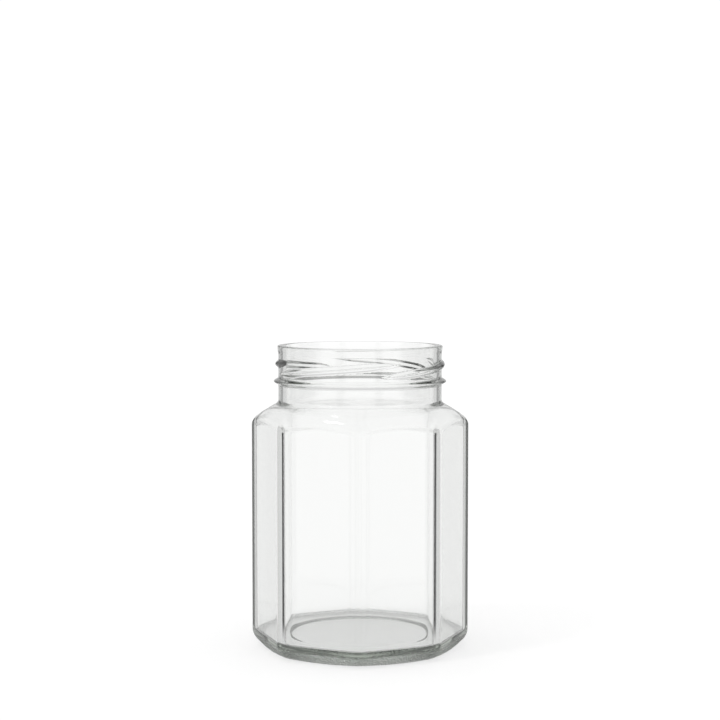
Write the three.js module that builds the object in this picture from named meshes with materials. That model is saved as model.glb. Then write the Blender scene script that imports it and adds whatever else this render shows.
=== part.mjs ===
// An octagonal glass jar with a twist-off neck, empty and without its lid.
// Millimetres, +Z up. The origin is the middle of the foot, on the surface that the jar
// stands on. One of the eight upright edges points to -Y, another to +X.
import * as THREE from 'three';
import { mergeVertices } from 'three/addons/utils/BufferGeometryUtils.js';

// The whole jar
const HEIGHT = 100;
const SIDES = 8;

// The body: a prism of eight flats with rounded upright edges
const EDGE_REACH = 36;          // from the axis to the outside of a rounded upright edge
const EDGE_ROUND = 4;
const WALL = 2.5;
const INNER_EDGE_ROUND = 7.5;

// The shoulder: a cone whose foot blends softly into the flats
const SHOULDER_FALL = 0.615;    // drop for each millimetre outwards
const SHOULDER_TOP = 81.2;      // where the cone meets the neck
const SHOULDER_BOTTOM = 72.5;   // where the flats begin to bend
const SHOULDER_BLEND = 3.6;
const SHOULDER_ROWS = 10;
const SHOULDER_WALL = 2.1;      // measured straight down
const INNER_SHOULDER_BLEND = 4.5;
const INNER_SHOULDER_BOTTOM = 71.5;

// The neck
const NECK_RADIUS = 27.1;
const BORE_RADIUS = 24.6;
const NECK_ROOT = 1;            // size of the soft corner between neck and shoulder

// The lip, with a small swelling round its outside
const LIP_RADIUS = 27.35;
const LIP_HEIGHT = 98.6;
const LIP_SWELL = 1.6;
const LIP_ROUND = 0.5;

// The bead below the thread
const BEAD_RADIUS = 28.6;
const BEAD_HEIGHT = 88.2;
const BEAD_HALF = 1.3;
const BEAD_CROWN = 0.4;

// The lug thread: four ridges, high at the right end, that fall to the left and overlap
const THREAD_STARTS = 4;
const THREAD_FIRST = 27;        // degrees from the front edge to the first high end
const THREAD_SPAN = 100;        // degrees
const THREAD_FADE = 22;         // degrees over which an end rises out of the wall
const THREAD_RISE = 1.1;
const THREAD_HIGH = 94.8;
const THREAD_LOW = 90.8;
const THREAD_UPPER_FLANK = 1.3;
const THREAD_LOWER_FLANK = 1.1;
const THREAD_ROWS = 13;

// The base: a foot ring round a shallow stepped hollow, and a floor with a low dome
const FOOT_OUTER = 30.4;
const FOOT_INNER = 24.1;
const HEEL_TOP = 5.3;
const HOLLOW_STEP = 1.2;        // width and height of the slope at the edge of the hollow
const HOLLOW_DEPTH = 1.3;
const FLOOR_RADIUS = 23;
const FLOOR_HEIGHT = 4.8;
const FLOOR_DOME = 0.1;
const FLOOR_FILLET = 1;         // height of the inner round between floor and wall
const FLOOR_FILLET_ACROSS = 1.2;

// How finely the curves are divided
const SEGMENTS = 64;
const EDGE_CROWDING = 0.7;      // 0 spaces the segments evenly, nearer 1 crowds them at edges
const ROUND_ROWS = 6;
const MERGE_GAP = 1e-4;

const HALF_SIDE = Math.PI / SIDES;
const { lerp, smoothstep, radToDeg, euclideanModulo } = THREE.MathUtils;

// The apothem of a prism whose rounded edges reach out to the given radius
const apothemOf = (reach, round) => (reach - round) * Math.cos(HALF_SIDE) + round;

const OUTER_PRISM = { apothem: apothemOf(EDGE_REACH, EDGE_ROUND), round: EDGE_ROUND };
const INNER_PRISM = { apothem: OUTER_PRISM.apothem - WALL, round: INNER_EDGE_ROUND };

// Radius of a rounded prism in the direction given by an angle from the front edge
function prismRadius({ apothem, round }, angle) {
  const fromEdge = Math.abs(angle - 2 * HALF_SIDE * Math.round(angle / (2 * HALF_SIDE)));
  const centre = (apothem - round) / Math.cos(HALF_SIDE);
  const arcEnd = Math.atan2(round * Math.sin(HALF_SIDE), centre + round * Math.cos(HALF_SIDE));
  if (fromEdge > arcEnd) return apothem / Math.cos(HALF_SIDE - fromEdge);
  return centre * Math.cos(fromEdge) + Math.sqrt(round ** 2 - (centre * Math.sin(fromEdge)) ** 2);
}

// The smaller of two radii, with the corner between them rounded over a width
function softMin(a, b, width) {
  const near = Math.max(width - Math.abs(a - b), 0);
  return Math.min(a, b) - near ** 2 / (4 * width);
}

// How far the thread stands out of the neck, at an angle and a height
function threadRelief(angle, z) {
  let relief = 0;
  for (let i = 0; i < THREAD_STARTS; i += 1) {
    const start = THREAD_FIRST + (360 / THREAD_STARTS) * i;
    const along = euclideanModulo(start - radToDeg(angle), 360);
    if (along > THREAD_SPAN) continue;
    const crest = lerp(THREAD_HIGH, THREAD_LOW, along / THREAD_SPAN);
    const flank = z > crest ? THREAD_UPPER_FLANK : THREAD_LOWER_FLANK;
    const crown = Math.max(1 - ((z - crest) / flank) ** 2, 0);
    const ends = smoothstep(Math.min(along, THREAD_SPAN - along), 0, THREAD_FADE);
    relief = Math.max(relief, THREAD_RISE * ends * crown);
  }
  return relief;
}

const spread = (low, high, count) => (
  Array.from({ length: count }, (_, i) => lerp(low, high, i / (count - 1))));

// The glass section is a list of rows. Each has a height, and a radius for every angle.
const ring = (r, z) => ({ z, radius: () => r });

// The heel is a quarter ellipse that leaves the round foot and grows into the prism
function heelRows() {
  return spread(0, Math.PI / 2, ROUND_ROWS + 1).slice(1).map((turn) => ({
    z: HEEL_TOP * (1 - Math.cos(turn)),
    radius: (angle) => lerp(FOOT_OUTER, prismRadius(OUTER_PRISM, angle), Math.sin(turn)),
  }));
}

// A cone that starts at a neck and is cut by a prism, one row at each height
function shoulderRows(prism, neck, top, blend, heights) {
  return heights.map((z) => {
    const cone = neck + (top - z) / SHOULDER_FALL;
    return { z, radius: (angle) => softMin(cone, prismRadius(prism, angle), blend) };
  });
}

function hollowRows() {
  return [ring(0, HOLLOW_DEPTH), ring(FOOT_INNER - HOLLOW_STEP, HOLLOW_STEP), ring(FOOT_INNER, 0)];
}

// The inner round where the wall comes down to the floor, from below upwards
function filletRows() {
  return spread(0, Math.PI / 2, ROUND_ROWS).map((turn) => ({
    z: FLOOR_HEIGHT + FLOOR_FILLET * (1 - Math.cos(turn)),
    radius: (angle) => prismRadius(INNER_PRISM, angle) - FLOOR_FILLET_ACROSS * (1 - Math.sin(turn)),
  }));
}

function beadRows() {
  return [
    ring(NECK_RADIUS, BEAD_HEIGHT - BEAD_HALF),
    ring(BEAD_RADIUS - BEAD_CROWN, BEAD_HEIGHT - BEAD_HALF / 2),
    ring(BEAD_RADIUS, BEAD_HEIGHT),
    ring(BEAD_RADIUS - BEAD_CROWN, BEAD_HEIGHT + BEAD_HALF / 2),
    ring(NECK_RADIUS, BEAD_HEIGHT + BEAD_HALF),
  ];
}

function threadRows() {
  const lowest = THREAD_LOW - THREAD_LOWER_FLANK + 0.2;
  const highest = THREAD_HIGH + THREAD_UPPER_FLANK;
  return spread(lowest, highest, THREAD_ROWS).map((z) => (
    { z, radius: (angle) => NECK_RADIUS + threadRelief(angle, z) }));
}

function outerRows() {
  return [
    ring(FOOT_OUTER, 0),
    ...heelRows(),
    ...shoulderRows(OUTER_PRISM, NECK_RADIUS, SHOULDER_TOP, SHOULDER_BLEND,
      spread(SHOULDER_BOTTOM, SHOULDER_TOP - NECK_ROOT, SHOULDER_ROWS)),
    ring(NECK_RADIUS, SHOULDER_TOP + NECK_ROOT),
    ...beadRows(),
    ...threadRows(),
    ring(NECK_RADIUS, LIP_HEIGHT - LIP_SWELL),
    ring(LIP_RADIUS, LIP_HEIGHT),
    ring(NECK_RADIUS, HEIGHT - LIP_ROUND / 2),
    ring(NECK_RADIUS - LIP_ROUND, HEIGHT),
  ];
}

function innerRows() {
  const coneTop = SHOULDER_TOP - SHOULDER_WALL + (NECK_RADIUS - BORE_RADIUS) * SHOULDER_FALL;
  return [
    ring(BORE_RADIUS + LIP_ROUND, HEIGHT),
    ring(BORE_RADIUS, HEIGHT - LIP_ROUND),
    ring(BORE_RADIUS, coneTop + NECK_ROOT),
    ...shoulderRows(INNER_PRISM, BORE_RADIUS, coneTop, INNER_SHOULDER_BLEND,
      spread(coneTop - NECK_ROOT, INNER_SHOULDER_BOTTOM, SHOULDER_ROWS)),
    ...filletRows().reverse(),
    ring(FLOOR_RADIUS, FLOOR_HEIGHT),
    ring(FLOOR_RADIUS / 2, FLOOR_HEIGHT + FLOOR_DOME * 0.75),
    ring(0, FLOOR_HEIGHT + FLOOR_DOME),
  ];
}

// A copy whose equal points are one, without the flat triangles that this leaves at the axis
function closed(geometry) {
  geometry.deleteAttribute('normal');
  geometry.deleteAttribute('uv');
  const merged = mergeVertices(geometry, MERGE_GAP);
  const corners = Array.from(merged.index.array);
  const kept = [];
  for (let i = 0; i < corners.length; i += 3) {
    const [a, b, c] = corners.slice(i, i + 3);
    if (a !== b && b !== c && c !== a) kept.push(a, b, c);
  }
  merged.setIndex(kept);
  merged.computeVertexNormals();
  return merged;
}

// The section is turned once round the axis, and each point is then pressed to the radius
// that its row has at that angle
function jarGeometry() {
  const rows = [...hollowRows(), ...outerRows(), ...innerRows()];
  const section = rows.map(({ z, radius }) => new THREE.Vector2(radius(0), z));
  const turned = new THREE.LatheGeometry(section, SEGMENTS);
  const place = turned.getAttribute('position');
  for (let i = 0; i < place.count; i += 1) {
    const row = rows[i % rows.length];
    const even = (2 * Math.PI * Math.floor(i / rows.length)) / SEGMENTS;
    const angle = even - (EDGE_CROWDING * Math.sin(SIDES * even)) / SIDES;
    const r = row.radius(angle);
    place.setXYZ(i, r * Math.sin(angle), -r * Math.cos(angle), row.z);
  }
  return closed(turned);
}

const clearGlass = new THREE.MeshStandardMaterial({
  color: 0xe6ece8,
  roughness: 0.03,
  metalness: 0,
  transparent: true,
  opacity: 0.35,
});

const jar = new THREE.Mesh(jarGeometry(), clearGlass);
jar.name = 'glass_jar';

const model = new THREE.Group();
model.add(jar);

export default model;
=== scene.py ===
# %% [markdown]
# # A clear glass jar with eight sides
# The jar is one piece of glass, empty and open. Its solid is already made, and this lesson
# gives it a fine surface, a glass finish, a studio and a camera. Glass shows nothing of its
# own: what the eye sees is the room, bent by the walls. So the shape of both skins, the
# thickness between them and the light around the jar matter more than any colour.

# %% Load the frame
import math
import bpy
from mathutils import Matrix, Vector


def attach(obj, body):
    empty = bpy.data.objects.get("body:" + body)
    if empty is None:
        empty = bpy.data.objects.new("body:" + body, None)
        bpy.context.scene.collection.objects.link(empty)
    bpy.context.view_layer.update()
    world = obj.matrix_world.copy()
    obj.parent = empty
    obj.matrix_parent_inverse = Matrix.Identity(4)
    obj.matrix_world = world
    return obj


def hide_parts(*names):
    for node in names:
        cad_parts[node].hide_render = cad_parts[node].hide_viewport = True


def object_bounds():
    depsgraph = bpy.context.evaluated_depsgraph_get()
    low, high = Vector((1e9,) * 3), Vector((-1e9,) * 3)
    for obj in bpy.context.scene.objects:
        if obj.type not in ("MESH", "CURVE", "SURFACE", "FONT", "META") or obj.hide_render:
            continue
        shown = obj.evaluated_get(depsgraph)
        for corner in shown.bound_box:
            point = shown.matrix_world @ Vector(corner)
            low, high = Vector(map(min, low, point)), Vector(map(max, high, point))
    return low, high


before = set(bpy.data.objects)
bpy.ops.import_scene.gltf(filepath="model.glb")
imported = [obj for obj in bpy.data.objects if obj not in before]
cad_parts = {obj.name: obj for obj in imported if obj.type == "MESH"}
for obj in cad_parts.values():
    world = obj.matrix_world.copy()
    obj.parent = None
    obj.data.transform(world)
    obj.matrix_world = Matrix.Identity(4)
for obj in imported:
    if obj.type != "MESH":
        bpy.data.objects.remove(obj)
cad_low, cad_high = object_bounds()
JAR_HEIGHT = cad_high.z
EDGE_REACH = cad_high.x
print("the solid jar is", round(JAR_HEIGHT * 1000, 1), "mm tall and reaches",
      round(EDGE_REACH * 1000, 1), "mm from its axis")

# %% [markdown]
# ## The camera
# The picture was taken from a little above the mouth with a long lens, so the upright edges
# look almost parallel. The camera is turned by a degree, because the edge that faces it isn't
# quite in the middle.

# %% Place the camera
CAMERA_LENS = 80.7
CAMERA_DISTANCE = 0.5343
CAMERA_HEIGHT = 0.1278
CAMERA_PITCH = math.radians(3.51)
CAMERA_TURN = math.radians(0.9)

bpy.ops.object.camera_add(
    location=(CAMERA_DISTANCE * math.sin(CAMERA_TURN),
              -CAMERA_DISTANCE * math.cos(CAMERA_TURN), CAMERA_HEIGHT),
    rotation=(math.pi / 2 - CAMERA_PITCH, 0, CAMERA_TURN))
camera = bpy.context.object
camera.name = "studio_camera"
camera.data.lens = CAMERA_LENS
bpy.context.scene.camera = camera
print("the camera stands", CAMERA_DISTANCE, "m from the jar")

# %% [markdown]
# ## The sizes of the glass
# A blown jar has an outer skin, which copies the mould, and an inner skin, which is always
# rounder, because the glass is thicker in the corners. All sizes are in metres, and only the
# height and the reach come from the frame. The blank is the round form before it is pressed.

# %% Name the sizes
SIDES = 8
HALF_SIDE = math.pi / SIDES
BLANK_RADIUS = 0.041

EDGE_ROUND = 0.004
INNER_EDGE_ROUND = 0.0075
WALL = 0.0025

SHOULDER_FALL = 0.615
SHOULDER_TOP = 0.0812
SHOULDER_BLEND = 0.0034
SHOULDER_WALL = 0.0021
INNER_SHOULDER_BLEND = 0.0045

NECK_RADIUS = 0.0271
BORE_RADIUS = 0.0246
NECK_ROOT = 0.0010
INNER_NECK_ROOT = 0.0022

BEAD_RISE = 0.0015
BEAD_HEIGHT = 0.0882
BEAD_HALF = 0.0013

LIP_HEIGHT = 0.0994
LIP_RISE = 0.00025
LIP_HALF = 0.0024
LIP_ROUND = 0.0004

FOOT_OUTER = 0.0304
FOOT_INNER = 0.0241
HEEL_TOP = 0.0053
HOLLOW_STEP = 0.0012
HOLLOW_DEPTH = 0.0013
FLOOR_RADIUS = 0.0230
FLOOR_HEIGHT = 0.0048
FLOOR_DOME = 0.0001
FLOOR_FILLET = 0.0010
FLOOR_FILLET_ACROSS = 0.0022
print("the wall is", WALL * 1000, "mm thick and the bore", BORE_RADIUS * 2000, "mm wide")

# %% [markdown]
# ## The half-section
# A turned blank needs only half of its section, drawn as an open line from the axis outwards.
# It could be a curve, but a line of vertices made with Extrude keeps every row where we want
# it. Two small helpers round a corner between two lines, and swell a line into a soft ridge.

# %% Draw lines of points
HOLLOW_ROWS = 14
STEP_ROWS = 7
FOOT_ROWS = 8
HEEL_ROWS = 15
WALL_ROWS = 8
SHOULDER_ROWS = 34
NECK_ROWS = 84
LIP_ROWS = 6
BORE_ROWS = 8
INNER_SHOULDER_ROWS = 36
INNER_WALL_ROWS = 10
FILLET_ROWS = 9
BRIM_ROWS = 6
FLOOR_ROWS = 12
SHOULDER_RUN_ON = 0.0015
NECK_START = 0.003


def spread(low, high, count):
    """count values from low to high, with both ends."""
    return [low + (high - low) * i / (count - 1) for i in range(count)]


def soft_min(a, b, width):
    """The smaller of two radii, with the corner between them rounded over a width."""
    near = max(width - abs(a - b), 0)
    return min(a, b) - near ** 2 / (4 * width)


def soft_max(a, b, width):
    """The larger of two radii, with the corner between them rounded over a width."""
    return -soft_min(-a, -b, width)


def swelling(distance, half):
    """1 at the crest of a ridge, easing to 0 at half its width."""
    if abs(distance) >= half:
        return 0
    return (math.cos(math.pi * distance / half) + 1) / 2


def cone(neck, top, z):
    """The radius of a shoulder that leaves the neck at height top, down at height z."""
    return neck + (top - z) / SHOULDER_FALL


def outer_wall_radius(z):
    """The outside of the blank from the shoulder up to the lip."""
    radius = soft_max(cone(NECK_RADIUS, SHOULDER_TOP, z), NECK_RADIUS, NECK_ROOT)
    radius += BEAD_RISE * swelling(z - BEAD_HEIGHT, BEAD_HALF)
    radius += LIP_RISE * swelling(z - LIP_HEIGHT, LIP_HALF)
    return min(radius, BLANK_RADIUS)


def quarter(centre, across, up, start, end, count):
    """Points on a quarter of an ellipse between two angles, in turns of a right angle."""
    turns = [t * math.pi / 2 for t in spread(start, end, count)]
    return [(centre[0] + across * math.cos(t), centre[1] + up * math.sin(t)) for t in turns]


def outer_section():
    """Rows of the outer skin, from the middle of the underside up to the top of the lip."""
    rim = FOOT_INNER - HOLLOW_STEP
    rise = HOLLOW_DEPTH - HOLLOW_STEP
    hollow = [(t * rim, HOLLOW_STEP + rise * (1 - t ** 2)) for t in spread(0, 1, HOLLOW_ROWS)]
    hollow += [(rim + t * HOLLOW_STEP, HOLLOW_STEP * swelling(t, 1))
               for t in spread(0, 1, STEP_ROWS)[1:]]
    foot = [(r, 0) for r in spread(FOOT_INNER, FOOT_OUTER, FOOT_ROWS)[1:]]
    heel = quarter((FOOT_OUTER, HEEL_TOP), BLANK_RADIUS - FOOT_OUTER, HEEL_TOP,
                   -1, 0, HEEL_ROWS)[1:]
    blank_top = SHOULDER_TOP - (BLANK_RADIUS - NECK_RADIUS) * SHOULDER_FALL
    wall = [(BLANK_RADIUS, z) for z in spread(HEEL_TOP, blank_top, WALL_ROWS)[1:-1]]
    shoulder = [(outer_wall_radius(z), z)
                for z in spread(blank_top, SHOULDER_TOP + SHOULDER_RUN_ON, SHOULDER_ROWS)]
    neck_top = JAR_HEIGHT - LIP_ROUND
    neck = [(outer_wall_radius(z), z)
            for z in spread(SHOULDER_TOP + NECK_START, neck_top, NECK_ROWS)]
    lip_centre = (outer_wall_radius(neck_top) - LIP_ROUND, neck_top)
    lip = quarter(lip_centre, LIP_ROUND, LIP_ROUND, 0, 1, LIP_ROWS)[1:]
    return hollow + foot + heel + wall + shoulder + neck + lip


def inner_section():
    """Rows of the inner skin, from the top of the lip down to the middle of the floor."""
    cone_top = SHOULDER_TOP - SHOULDER_WALL + (NECK_RADIUS - BORE_RADIUS) * SHOULDER_FALL
    lip_foot = JAR_HEIGHT - LIP_ROUND
    lip = quarter((BORE_RADIUS + LIP_ROUND, lip_foot), -LIP_ROUND, LIP_ROUND, 1, 0, LIP_ROWS)
    bore = [(BORE_RADIUS, z) for z in spread(lip_foot, cone_top + NECK_START, BORE_ROWS)[1:]]
    blank_top = cone_top - (BLANK_RADIUS - BORE_RADIUS) * SHOULDER_FALL
    shoulder = []
    for z in spread(cone_top + NECK_START, blank_top, INNER_SHOULDER_ROWS)[1:]:
        radius = soft_max(cone(BORE_RADIUS, cone_top, z), BORE_RADIUS, INNER_NECK_ROOT)
        shoulder.append((min(radius, BLANK_RADIUS), z))
    wall_foot = FLOOR_HEIGHT + FLOOR_FILLET
    wall = [(BLANK_RADIUS, z) for z in spread(blank_top, wall_foot, INNER_WALL_ROWS)[1:-1]]
    brim_edge = BLANK_RADIUS - FLOOR_FILLET_ACROSS
    fillet = quarter((brim_edge, wall_foot), FLOOR_FILLET_ACROSS, FLOOR_FILLET,
                     0, -1, FILLET_ROWS)
    brim = [(r, FLOOR_HEIGHT) for r in spread(brim_edge, FLOOR_RADIUS, BRIM_ROWS)[1:]]
    dome = [(t * FLOOR_RADIUS, FLOOR_HEIGHT + FLOOR_DOME * (1 - t ** 2))
            for t in spread(1, 0, FLOOR_ROWS)[1:]]
    return lip + bore + shoulder + wall + fillet + brim + dome


print("the outer skin has", len(outer_section()), "rows, the inner one", len(inner_section()))

# %% [markdown]
# ## Turning the blanks
# A plane is merged to one vertex, Extrude carries it along the section, and Spin turns the
# line once round the axis. The Screw modifier could do the same, but Spin is done at once,
# and the points can then be moved. Equal points are merged, which closes seam and poles.

# %% Turn a section round the axis
TURN_STEPS = 320
MERGE_GAP = 1e-7
SEED_SIZE = 0.001


def turned_skin(section, name):
    """The skin of a blank: a section drawn with Extrude, and turned with Spin."""
    bpy.ops.object.select_all(action="DESELECT")
    bpy.ops.mesh.primitive_plane_add(size=SEED_SIZE, location=(0, 0, 0))
    skin = bpy.context.object
    skin.name = skin.data.name = name
    bpy.ops.object.mode_set(mode="EDIT")
    bpy.ops.mesh.select_all(action="SELECT")
    bpy.ops.mesh.merge(type="CENTER")
    here = Vector((0, 0, 0))
    first = Vector((section[0][0], 0, section[0][1]))
    bpy.ops.transform.translate(value=first - here)
    here = first
    for r, z in section[1:]:
        there = Vector((r, 0, z))
        bpy.ops.mesh.extrude_region_move(TRANSFORM_OT_translate={"value": there - here})
        here = there
    bpy.ops.mesh.select_all(action="SELECT")
    bpy.ops.mesh.spin(steps=TURN_STEPS, angle=2 * math.pi, center=(0, 0, 0), axis=(0, 0, 1))
    bpy.ops.mesh.select_all(action="SELECT")
    bpy.ops.mesh.remove_doubles(threshold=MERGE_GAP)
    bpy.ops.object.mode_set(mode="OBJECT")
    print(name, "has", len(skin.data.vertices), "points")
    return skin


outer_skin = turned_skin(outer_section(), "jar_glass")
inner_skin = turned_skin(inner_section(), "inner_skin")

# %% [markdown]
# ## Pressing the blanks into eight sides
# A real jar gets its eight flats from the mould that it is blown into. A Boolean with a
# prism would cut a hard, ragged line round the shoulder, and hard lines glitter in glass. So
# each point is moved towards the axis, to the radius of a prism with rounded edges, and the
# points are drawn a little together at the edges. No operator follows a formula, so a loop
# over the points does it. Where the shoulder meets a flat, the two radii blend, which gives
# the eight soft arches.

# %% Press a skin to the prism
EDGE_CROWDING = 0.7


def apothem_of(reach, rounding):
    """Half the distance over the flats of a prism whose rounded edges have that reach."""
    return (reach - rounding) * math.cos(HALF_SIDE) + rounding


def prism_radius(apothem, rounding, angle):
    """The radius of the rounded prism at an angle from the edge that faces the camera."""
    from_edge = abs(angle - 2 * HALF_SIDE * round(angle / (2 * HALF_SIDE)))
    centre = (apothem - rounding) / math.cos(HALF_SIDE)
    arc_end = math.atan2(rounding * math.sin(HALF_SIDE), centre + rounding * math.cos(HALF_SIDE))
    if from_edge > arc_end:
        return apothem / math.cos(HALF_SIDE - from_edge)
    across = centre * math.sin(from_edge)
    return centre * math.cos(from_edge) + math.sqrt(rounding ** 2 - across ** 2)


def press(skin, apothem, rounding, ring, ring_top, blend):
    """Moves each point of a skin inwards to the prism. Below ring_top the skin grows from a
    round ring into the prism, so that the foot and the floor stay round."""
    for vertex in skin.data.vertices:
        x, y, z = vertex.co
        radius = math.hypot(x, y)
        even = math.atan2(x, -y)
        angle = even - EDGE_CROWDING * math.sin(SIDES * even) / SIDES
        flat = prism_radius(apothem, rounding, angle)
        if z < ring_top and radius > ring:
            share = (radius - ring) / (BLANK_RADIUS - ring)
            radius = ring + (flat - ring) * share
        else:
            radius = soft_min(radius, flat, blend)
        vertex.co = (radius * math.sin(angle), -radius * math.cos(angle), z)


outer_apothem = apothem_of(EDGE_REACH, EDGE_ROUND)
press(outer_skin, outer_apothem, EDGE_ROUND, FOOT_OUTER, HEEL_TOP, SHOULDER_BLEND)
press(inner_skin, outer_apothem - WALL, INNER_EDGE_ROUND, FLOOR_RADIUS,
      FLOOR_HEIGHT + FLOOR_FILLET, INNER_SHOULDER_BLEND)
print("the jar is", round(2000 * outer_apothem, 2), "mm over its flats")

# %% [markdown]
# ## The lug thread
# A twist-off lid has no full screw. Its lugs slide under short ridges, one for each lug, that
# start high at their right end and fall to the left. Separate ridges would leave walls inside
# the glass, and light would break on them, so the neck itself is raised where a ridge runs.

# %% Raise the thread out of the neck
THREAD_STARTS = 4
THREAD_FIRST = math.radians(27)
THREAD_SPAN = math.radians(100)
THREAD_FADE = math.radians(22)
THREAD_POINT = 1e-6
THREAD_RISE = 0.0010
THREAD_HIGH = 0.0948
THREAD_LOW = 0.0908
THREAD_UPPER_FLANK = 0.0013
THREAD_LOWER_FLANK = 0.0011


def crowned(distance, half):
    """1 at the crest of a ridge, falling to crisp feet at half its width."""
    return max(1 - (distance / half) ** 2, 0)


def thread_relief(angle, z):
    """How far the thread stands out of the neck at an angle and a height."""
    relief = 0
    for i in range(THREAD_STARTS):
        start = THREAD_FIRST + 2 * math.pi * i / THREAD_STARTS
        along = (start - angle) % (2 * math.pi)
        if along > THREAD_SPAN:
            continue
        share = along / THREAD_SPAN
        crest = THREAD_HIGH + (THREAD_LOW - THREAD_HIGH) * share
        flank = THREAD_UPPER_FLANK if z > crest else THREAD_LOWER_FLANK
        end = max(min(along, THREAD_SPAN - along, THREAD_FADE) / THREAD_FADE, THREAD_POINT)
        ends = math.sin(end * math.pi / 2)
        relief = max(relief, THREAD_RISE * ends * crowned(z - crest, flank * ends))
    return relief


raised = 0
for vertex in outer_skin.data.vertices:
    x, y, z = vertex.co
    relief = thread_relief(math.atan2(x, -y), z)
    if relief > 0:
        radius = math.hypot(x, y)
        vertex.co = (x * (radius + relief) / radius, y * (radius + relief) / radius, z)
        raised += 1
print("the thread has", THREAD_STARTS, "ridges, made of", raised, "points of the neck")

# %% [markdown]
# ## One closed piece
# The two skins meet on top of the lip. They are joined and bridged there, and the normals are
# recalculated, so that every face points out of the glass: outwards on the outer skin, and
# into the empty inside on the inner one.

# %% Close the glass at the lip
bpy.ops.object.select_all(action="DESELECT")
inner_skin.select_set(True)
outer_skin.select_set(True)
bpy.context.view_layer.objects.active = outer_skin
bpy.ops.object.join()
jar = bpy.context.object
bpy.ops.object.mode_set(mode="EDIT")
bpy.ops.mesh.select_mode(type="EDGE")
bpy.ops.mesh.select_all(action="DESELECT")
bpy.ops.mesh.select_non_manifold()
bpy.ops.mesh.bridge_edge_loops()
bpy.ops.mesh.select_all(action="SELECT")
bpy.ops.mesh.normals_make_consistent(inside=False)
bpy.ops.mesh.select_all(action="DESELECT")
bpy.ops.mesh.select_non_manifold()
bpy.ops.object.mode_set(mode="OBJECT")
bpy.ops.object.shade_smooth()
open_edges = sum(edge.select for edge in jar.data.edges)
print("the jar has", len(jar.data.polygons), "faces and", open_edges, "open edges")

# %% [markdown]
# ## Three helpers for nodes
# Materials, floor and world are all made of nodes. Adding a node, doing a sum and easing from
# one value to another come back again and again, so each is a short function. In the Shader
# Editor they are Add, the Math node and the Map Range node set to Smooth Step.

# %% Make the node helpers
def add(tree, kind, **settings):
    """A new node with its properties set."""
    node = tree.nodes.new(kind)
    for name, value in settings.items():
        setattr(node, name, value)
    return node


def math_node(tree, operation, a, b=0.0):
    """The output of a Math node. Each operand is a number or the output of another node."""
    node = add(tree, "ShaderNodeMath", operation=operation)
    for i, operand in enumerate((a, b)):
        if isinstance(operand, (int, float)):
            node.inputs[i].default_value = operand
        else:
            tree.links.new(operand, node.inputs[i])
    return node.outputs[0]


def ramp(tree, value, low, high, start, end):
    """A value that eases from start to end while its input goes from low to high."""
    node = add(tree, "ShaderNodeMapRange", interpolation_type="SMOOTHSTEP")
    tree.links.new(value, node.inputs["Value"])
    for name, number in (("From Min", low), ("From Max", high), ("To Min", start),
                         ("To Max", end)):
        node.inputs[name].default_value = number
    return node.outputs["Result"]


print("the helpers add, math_node and ramp are ready")

# %% [markdown]
# ## The glass
# Soda-lime glass is clear, with a faint green cast that only shows where light travels a long
# way through it, as in the edges and the base. A tint on the surface would colour thin and
# thick glass alike, so the colour is in the volume, and the surface stays white.

# %% Make the clear glass
GLASS_BENDING = 1.52
GLASS_TINT = (0.70, 0.735, 0.69, 1)
GLASS_DENSITY = 38

glass = bpy.data.materials.new("clear_glass")
glass.use_nodes = True
tree = glass.node_tree
shader = tree.nodes["Principled BSDF"]
shader.inputs["Base Color"].default_value = (1, 1, 1, 1)
shader.inputs["Transmission Weight"].default_value = 1
shader.inputs["IOR"].default_value = GLASS_BENDING
absorb = add(tree, "ShaderNodeVolumeAbsorption")
absorb.inputs["Color"].default_value = GLASS_TINT
absorb.inputs["Density"].default_value = GLASS_DENSITY
tree.links.new(absorb.outputs["Volume"], tree.nodes["Material Output"].inputs["Volume"])
jar.data.materials.clear()
jar.data.materials.append(glass)
print("the glass bends light by", GLASS_BENDING, "and has a density of", GLASS_DENSITY)

# %% [markdown]
# ## The stippled heel
# The photographed jar has an even grey-green band round its heel. It is taken for fine dots
# in the glass, which scatter the light. Dots could be modelled, but they are far finer than
# the mesh, so a Voronoi texture bumps the surface. Its mask fades out up the heel and leaves
# out the flat foot, where dots would show as a dark arc through the floor.

# %% Stipple the heel
STIPPLE_TOP = 0.0042
STIPPLE_INNER = 0.0302
STIPPLE_SCALE = 1500
STIPPLE_STRENGTH = 0.7
STIPPLE_HEIGHT = 0.0008
STIPPLE_ROUGHNESS = 0.45

place = add(tree, "ShaderNodeTexCoord").outputs["Object"]
apart = add(tree, "ShaderNodeSeparateXYZ")
tree.links.new(place, apart.inputs[0])
x, y, z = apart.outputs
radius = math_node(tree, "SQRT", math_node(tree, "ADD", math_node(tree, "MULTIPLY", x, x),
                                            math_node(tree, "MULTIPLY", y, y)))
on_heel = math_node(tree, "MULTIPLY", ramp(tree, z, STIPPLE_TOP / 2, STIPPLE_TOP, 1, 0),
                    math_node(tree, "GREATER_THAN", radius, STIPPLE_INNER))
stipple = add(tree, "ShaderNodeTexVoronoi", feature="F1")
stipple.inputs["Scale"].default_value = STIPPLE_SCALE
tree.links.new(place, stipple.inputs["Vector"])
bump = add(tree, "ShaderNodeBump")
bump.inputs["Strength"].default_value = STIPPLE_STRENGTH
bump.inputs["Distance"].default_value = STIPPLE_HEIGHT
tree.links.new(math_node(tree, "MULTIPLY", stipple.outputs["Distance"], on_heel),
               bump.inputs["Height"])
tree.links.new(bump.outputs["Normal"], shader.inputs["Normal"])
tree.links.new(math_node(tree, "MULTIPLY", on_heel, STIPPLE_ROUGHNESS),
               shader.inputs["Roughness"])
print("the dots reach up to", STIPPLE_TOP * 1000, "mm, about", round(1000 / STIPPLE_SCALE, 2),
      "mm apart")

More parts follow.
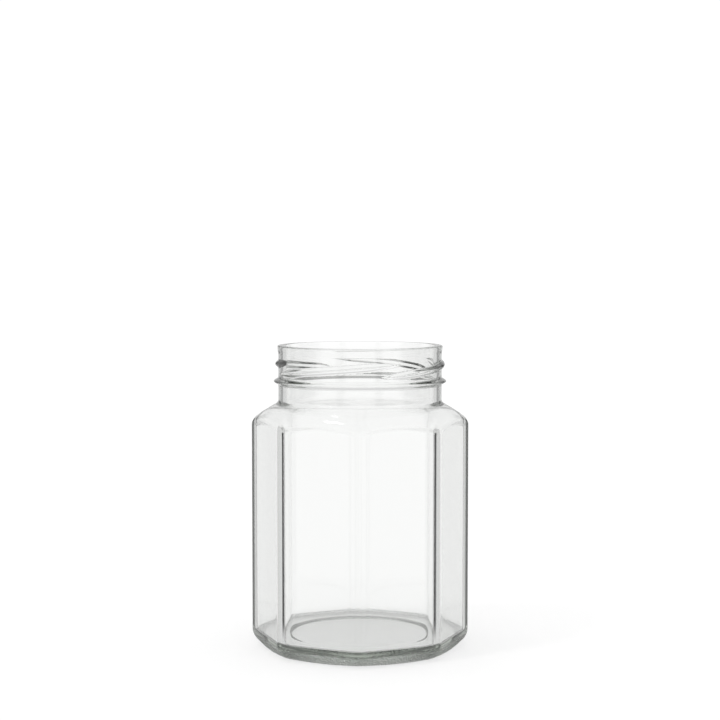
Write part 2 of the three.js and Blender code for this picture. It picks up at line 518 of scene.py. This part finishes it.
# %% [markdown]
# ## The cards of the studio
# Clear glass is photographed against white, between black cards. The white fills the walls,
# and the cards draw the edges, because an edge mirrors what stands beside the glass. Cards
# could be planes, but they would be in the way of every other view. So they are a pattern
# over directions: a dark card at each side, a grey flag between it and the front or the
# back, nothing steeply above or below, and a ceiling that is a little dimmer than the rest.

# %% Make the pattern of cards
CARD_EDGE = math.radians(66)
CARD_SOFT = math.radians(5)
CARD_LIGHT = 0.02
CARD_LOW = 0.2
CARD_HIGH = 0.35
FLAG_PLACE = math.radians(28)
FLAG_HALF = math.radians(5)
FLAG_SOFT = math.radians(2)
FLAG_LIGHT = 0.3
CEILING_LOW = 0.35
CEILING_HIGH = 0.7
CEILING_LIGHT = 0.65
SOFTBOX_LIGHT = 0.9

stripes = bpy.data.node_groups.new("card_stripes", "ShaderNodeTree")
stripes.interface.new_socket("Direction", in_out="INPUT", socket_type="NodeSocketVector")
stripes.interface.new_socket("Brightness", in_out="OUTPUT", socket_type="NodeSocketFloat")
entry = add(stripes, "NodeGroupInput")
leave = add(stripes, "NodeGroupOutput")
apart = add(stripes, "ShaderNodeSeparateXYZ")
stripes.links.new(entry.outputs[0], apart.inputs[0])
x, y, z = apart.outputs
aside = math_node(stripes, "PINGPONG", math_node(stripes, "ARCTAN2", x, y), math.pi / 2)
from_flag = math_node(stripes, "ABSOLUTE", math_node(stripes, "SUBTRACT", aside, FLAG_PLACE))

side_card = ramp(stripes, aside, CARD_EDGE - CARD_SOFT, CARD_EDGE + CARD_SOFT, 1, CARD_LIGHT)
flag = ramp(stripes, from_flag, FLAG_HALF - FLAG_SOFT, FLAG_HALF + FLAG_SOFT, FLAG_LIGHT, 1)
steep = ramp(stripes, math_node(stripes, "ABSOLUTE", z), CARD_LOW, CARD_HIGH, 0, 1)
ceiling = ramp(stripes, z, CEILING_LOW, CEILING_HIGH, 1, CEILING_LIGHT)
cards = math_node(stripes, "MULTIPLY", side_card, flag)
cards = math_node(stripes, "MAXIMUM", cards, steep)
cards = math_node(stripes, "MULTIPLY", cards, ceiling)
stripes.links.new(math_node(stripes, "MULTIPLY", cards, SOFTBOX_LIGHT), leave.inputs[0])
print("the cards are made of", len(stripes.nodes), "nodes")

# %% [markdown]
# ## Light that has met the glass
# The cards may only be seen in the glass, so the studio has to know where light has been. The
# Light Path node counts how often it was mirrored, how often it was let through, and how
# often a dull surface scattered it. Light that was scattered lights the floor, and for that
# the studio stays plain.

# %% Tell the paths of light apart
HALF_BOUNCE = 0.5
MIRRORED = "Glossy Depth"
BENT = "Transmission Depth"


def met_glass(tree, depth):
    """1 for light with that kind of bounce and no scattering on its way, 0 for all other."""
    path = add(tree, "ShaderNodeLightPath").outputs
    return math_node(tree, "MULTIPLY",
                     math_node(tree, "GREATER_THAN", path[depth], HALF_BOUNCE),
                     math_node(tree, "LESS_THAN", path["Diffuse Depth"], HALF_BOUNCE))


print("light is told apart by its", MIRRORED, "and its", BENT)

# %% [markdown]
# ## The floor
# The jar stands on white paper that runs out of the picture. White paper in soft light is
# never quite white, so it also glows, and then only a faint shadow is left on it. To
# mirrored light it is transparent, so that the cards show there too. It lies a hair below
# the foot, since two surfaces in one plane would fight.

# %% Lay the floor
FLOOR_DROP = 0.0002
FLOOR_SIZE = 20
FLOOR_WHITE = (0.95, 0.95, 0.95, 1)
GLOW_SHARE = 0.6
GLOW_LIGHT = 1.05
GLOW_SEEN = -0.03

bpy.ops.object.select_all(action="DESELECT")
bpy.ops.mesh.primitive_plane_add(size=FLOOR_SIZE, location=(0, 0, -FLOOR_DROP))
floor = bpy.context.object
floor.name = "studio_floor"
paint = bpy.data.materials.new("white_floor")
paint.use_nodes = True
tree = paint.node_tree
tree.nodes.clear()
surface = add(tree, "ShaderNodeBsdfDiffuse")
surface.inputs["Color"].default_value = FLOOR_WHITE
glow = add(tree, "ShaderNodeEmission")
seen = add(tree, "ShaderNodeLightPath").outputs["Is Camera Ray"]
tree.links.new(math_node(tree, "ADD", math_node(tree, "MULTIPLY", seen, GLOW_SEEN), GLOW_LIGHT),
               glow.inputs["Strength"])
clear = add(tree, "ShaderNodeBsdfTransparent")
table = add(tree, "ShaderNodeMixShader")
table.inputs[0].default_value = GLOW_SHARE
tree.links.new(surface.outputs[0], table.inputs[1])
tree.links.new(glow.outputs[0], table.inputs[2])
choice = add(tree, "ShaderNodeMixShader")
tree.links.new(met_glass(tree, MIRRORED), choice.inputs[0])
tree.links.new(table.outputs[0], choice.inputs[1])
tree.links.new(clear.outputs[0], choice.inputs[2])
tree.links.new(choice.outputs[0], add(tree, "ShaderNodeOutputMaterial").inputs["Surface"])
floor.data.materials.append(paint)
print("the floor lies", FLOOR_DROP * 1000, "mm below the foot")

# %% [markdown]
# ## The white room
# All round the jar the world is one soft white. Light that was mirrored finds the cards
# instead, a little dimmer after each mirroring, because light that is led round inside thick
# glass picks up grey. Light that was let through finds the upper sky dimmer, which gives the
# shoulder and the neck their soft shading.

# %% Light the room
WORLD_LIGHT = 1.05
GUIDE_KEEP = 0.84
GUIDE_LEAST = 0.6
UPPER_LOW = 0.2
UPPER_HIGH = 0.5
UPPER_LIGHT = 0.7

world = bpy.data.worlds.new("studio")
bpy.context.scene.world = world
world.use_nodes = True
world.cycles.sampling_method = "NONE"
tree = world.node_tree
direction = add(tree, "ShaderNodeTexCoord").outputs["Generated"]
height = add(tree, "ShaderNodeSeparateXYZ")
tree.links.new(direction, height.inputs[0])
upper = ramp(tree, height.outputs[2], UPPER_LOW, UPPER_HIGH, 0, UPPER_LIGHT - 1)
dim = math_node(tree, "MULTIPLY", upper, met_glass(tree, BENT))
plain = math_node(tree, "MULTIPLY", math_node(tree, "ADD", dim, 1), WORLD_LIGHT)
group = add(tree, "ShaderNodeGroup", node_tree=stripes)
tree.links.new(direction, group.inputs[0])
times = add(tree, "ShaderNodeLightPath").outputs[MIRRORED]
kept = math_node(tree, "MAXIMUM", math_node(tree, "POWER", GUIDE_KEEP, times), GUIDE_LEAST)
in_glass = math_node(tree, "MULTIPLY", group.outputs[0], kept)
change = math_node(tree, "SUBTRACT", in_glass, plain)
change = math_node(tree, "MULTIPLY", change, met_glass(tree, MIRRORED))
background = tree.nodes["Background"]
background.inputs["Color"].default_value = (1, 1, 1, 1)
tree.links.new(math_node(tree, "ADD", change, plain), background.inputs["Strength"])
print("the world is made of", len(tree.nodes), "nodes")

# %% [markdown]
# ## The key light and the bounces
# One soft sun from above, the front and the left gives the faint shadow on the right. It
# could be an area light, but then its distance would count too. It is hidden from mirrored
# light, as it would leave a hard glint on the shoulder. Light crosses four surfaces on its
# way through both walls, and many more inside the edges and the base, so many bounces are
# allowed.

# %% Set the key light and the bounces
KEY_LIGHT = 0.4
KEY_TILT = math.radians(38)
KEY_TURN = math.radians(-56)
KEY_SOFTNESS = math.radians(8)
MOST_BOUNCES = 24
MIRROR_BOUNCES = 12

bpy.ops.object.light_add(type="SUN", rotation=(KEY_TILT, 0, KEY_TURN))
key = bpy.context.object
key.name = "key_light"
key.data.energy = KEY_LIGHT
key.data.angle = KEY_SOFTNESS
key.visible_glossy = False
scene = bpy.context.scene
scene.view_settings.view_transform = "Standard"
scene.cycles.max_bounces = MOST_BOUNCES
scene.cycles.transmission_bounces = MOST_BOUNCES
scene.cycles.glossy_bounces = MIRROR_BOUNCES
print("light may bounce", MOST_BOUNCES, "times")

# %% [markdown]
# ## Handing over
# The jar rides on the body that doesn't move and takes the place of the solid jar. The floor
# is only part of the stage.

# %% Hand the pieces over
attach(jar, "root")
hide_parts("glass_jar")
